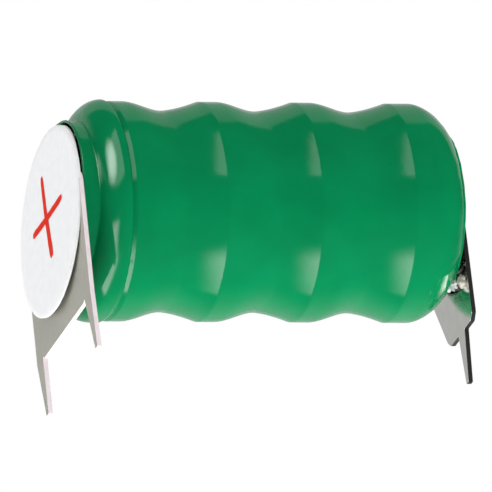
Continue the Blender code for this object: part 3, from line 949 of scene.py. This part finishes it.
def settle_on_tag(mesh):
    """Leans paper or ink with the positive end, a little lower than it was drawn."""
    axis_height = Vector((0.0, 0.0, AXIS_Z)).dot(ABOVE)
    for vert in mesh.vertices:
        vert.co.z -= PAPER_SAG
        vert.co.x += END_LEAN * (vert.co.dot(ABOVE) - axis_height)


def make_disc(material):
    """The paper disc, with a slightly fuzzy edge and a faint ripple towards its rim."""
    thick = disc_high.x - disc_low.x
    edge = 0.025 * MM
    rim = [(0.0, 0.0)]
    rim += [(DISC_RADIUS * i / 16, 0.0) for i in range(1, 16)]
    rim += [(DISC_RADIUS - edge, 0.0), (DISC_RADIUS, edge)]
    rim += [(DISC_RADIUS, thick - edge), (DISC_RADIUS - edge, thick)]
    rim += [(DISC_RADIUS * i / 16, thick) for i in range(15, 0, -1)]
    rim += [(0.0, thick)]
    mesh = lathe("paper_disc", rim, disc_low.x, sides=160, axis_z=DISC_Z)
    for vert in mesh.vertices:
        y, z = vert.co.y, vert.co.z - DISC_Z
        share = (y * y + z * z) ** 0.5 / DISC_RADIUS
        ripple = noise.noise(Vector((y, z, 0.0)) / (2.6 * MM))
        vert.co.x += 0.012 * MM * ripple * share
        if share > 0.95:
            fuzz = 1 + 0.003 * noise.noise(Vector((y, z, 0.0)) / (0.25 * MM))
            vert.co.y = y * fuzz
            vert.co.z = DISC_Z + z * fuzz
    settle_on_tag(mesh)
    add_piece("paper_disc", mesh, material, ["positive_disc"], sharp=50.0)


def make_stroke(name, start, end, widths, bend, material, lift):
    """A pen stroke on the disc, from start to end in (y, z) about the disc's middle."""
    start, end = Vector(start), Vector(end)
    along = end - start
    across = Vector((-along.y, along.x)).normalized()
    steps = 28
    face = disc_low.x - lift
    bm = bmesh.new()
    rows = []
    for i in range(steps + 1):
        t = i / steps
        middle = start + along * t + across * bend * sin(pi * t)
        width = widths[0] + (widths[1] - widths[0]) * t
        round_end = min(1.0, 0.6 + 8.0 * min(t, 1 - t))
        width *= round_end
        ragged = 0.05 * noise.noise(Vector((t * 14, lift / MM * 40, 0.0)))
        row = []
        for side in (-0.5, 0.5):
            point = middle + across * width * (side + ragged)
            row.append(bm.verts.new((face, point.x, DISC_Z + point.y)))
        rows.append(row)
    for first, second in zip(rows, rows[1:]):
        bm.faces.new((first[0], first[1], second[1], second[0]))
    skin = bmesh.ops.extrude_face_region(bm, geom=list(bm.faces))
    for item in skin["geom"]:
        if isinstance(item, bmesh.types.BMVert):
            item.co.x -= 0.008 * MM
    bmesh.ops.recalc_face_normals(bm, faces=bm.faces)
    mesh = bpy.data.meshes.new(name)
    bm.to_mesh(mesh)
    bm.free()
    settle_on_tag(mesh)
    add_piece(name, mesh, material, sharp=50.0)


def make_polarity_mark(material):
    """A plus sign in two pen strokes."""
    make_stroke(
        "plus_upright", (1.13 * MM, 3.11 * MM), (-0.28 * MM, -2.18 * MM),
        (0.40 * MM, 0.58 * MM), 0.10 * MM, material, INK_LIFT,
    )
    make_stroke(
        "plus_crossbar", (2.88 * MM, 0.29 * MM), (-2.27 * MM, 0.56 * MM),
        (0.42 * MM, 0.42 * MM), 0.06 * MM, material, INK_LIFT + 0.009 * MM,
    )


# --- small marks at the negative end: a solder bead, and a white fleck that paints a glint ---

BEAD_PLACE = (10.84 * MM, -1.67 * MM, -4.72 * MM)   # of the solder bead's middle, from the axis
BEAD_REACH = (0.25 * MM, 0.34 * MM, 0.34 * MM)
FLECK_PLACE = (10.56 * MM, -0.66 * MM, -4.42 * MM)  # of the middle of the white fleck, whose colour paints a glint
FLECK_REACH = (0.26 * MM, 0.34 * MM, 0.40 * MM)


def make_lump(name, place, reach, roughness, grain, material):
    """A small uneven lump, built from rings of points pushed in and out by noise."""
    rings, sides = 18, 28
    centre = Vector(place) + Vector((0.0, 0.0, AXIS_Z))
    bm = bmesh.new()
    rows = []
    for i in range(rings + 1):
        tilt = pi * i / rings
        row = []
        for j in range(sides if 0 < i < rings else 1):
            turn = 2 * pi * j / sides
            ray = Vector((cos(tilt), sin(tilt) * cos(turn), sin(tilt) * sin(turn)))
            push = 1 + roughness * noise.fractal(ray * grain + centre / MM, 0.7, 2.0, 3)
            scaled = Vector((ray.x * reach[0], ray.y * reach[1], ray.z * reach[2])) * push
            row.append(bm.verts.new(centre + scaled))
        rows.append(row)
    for first, second in zip(rows, rows[1:]):
        for j in range(sides):
            k = (j + 1) % sides
            corners = [first[j % len(first)], second[j % len(second)]]
            corners += [second[k % len(second)], first[k % len(first)]]
            bm.faces.new(list(dict.fromkeys(corners)))
    bmesh.ops.recalc_face_normals(bm, faces=bm.faces)
    mesh = bpy.data.meshes.new(name)
    bm.to_mesh(mesh)
    bm.free()
    add_piece(name, mesh, material, sharp=70.0)


def make_marks(looks):
    make_lump("solder_bead", BEAD_PLACE, BEAD_REACH, 0.35, 1.6, looks["solder"])
    # a white lump in paper's colour that paints a glint at the film's torn edge
    make_lump("painted_glint_fleck", FLECK_PLACE, FLECK_REACH, 0.7, 2.2, looks["paper"])


# --- the hidden CAD pieces -------------------------------------------------------------------

def finish_cad_nodes(looks):
    """Gives the carried-over CAD pieces their materials."""
    by_name = {
        "positive_electrode": "powder",
        "negative_electrode": "powder",
        "separator": "fleece",
        "contact_spring": "nickel",
        "cell_link": "nickel",
    }
    for name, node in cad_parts.items():
        for words, look in by_name.items():
            if words in name:
                node.data.materials.clear()
                node.data.materials.append(looks[look])


def main():
    bpy.context.scene.view_settings.view_transform = "Standard"
    looks = {
        "tin": tin_look("tinned_steel", (0.415, 0.41, 0.36), 0.32, 0.48, 0.72),
        "bright_tin": tin_look("tinned_steel_bright", (0.74, 0.745, 0.70), 0.03, 0.06, 1.0),
        # the two-pin tag's sheared edge: a pale pinkish colour that paints the highlight on the edge
        # facing the view
        "edge_painted_highlight": tin_look("sheared_edge", (0.90, 0.79, 0.82), 0.5, 0.7, 0.1),
        # the one-pin tag's sheared edge: a near-black colour that paints the shade on the edge
        "edge_painted_shade": tin_look("sheared_edge_painted_shade", (0.06, 0.06, 0.06), 0.35, 0.5, 0.6),
        "solder": tin_look("solder", (0.66, 0.60, 0.53), 0.30, 0.45, 0.3),
        "can": plated_look("plated_can", (0.66, 0.65, 0.62), 0.16, 0.30, 0.12 * MM),
        "nickel": plated_look("nickel_strip", (0.60, 0.58, 0.54), 0.25, 0.42, 0.08 * MM),
        "gasket": moulded_look("nylon", (0.035, 0.035, 0.038), 0.45),
        "fibre": fibre_look(),
        "powder": powder_look(),
        "fleece": fleece_look(),
        "paper": paper_look(),
        "ink": ink_look(),
        "film": film_look(),
    }
    make_camera()
    make_world()
    make_floor()
    make_sleeve(looks["film"])
    make_cells(looks)
    make_rings(looks["fibre"])
    make_tags(looks)
    make_disc(looks["paper"])
    make_polarity_mark(looks["ink"])
    make_marks(looks)
    finish_cad_nodes(looks)


main()
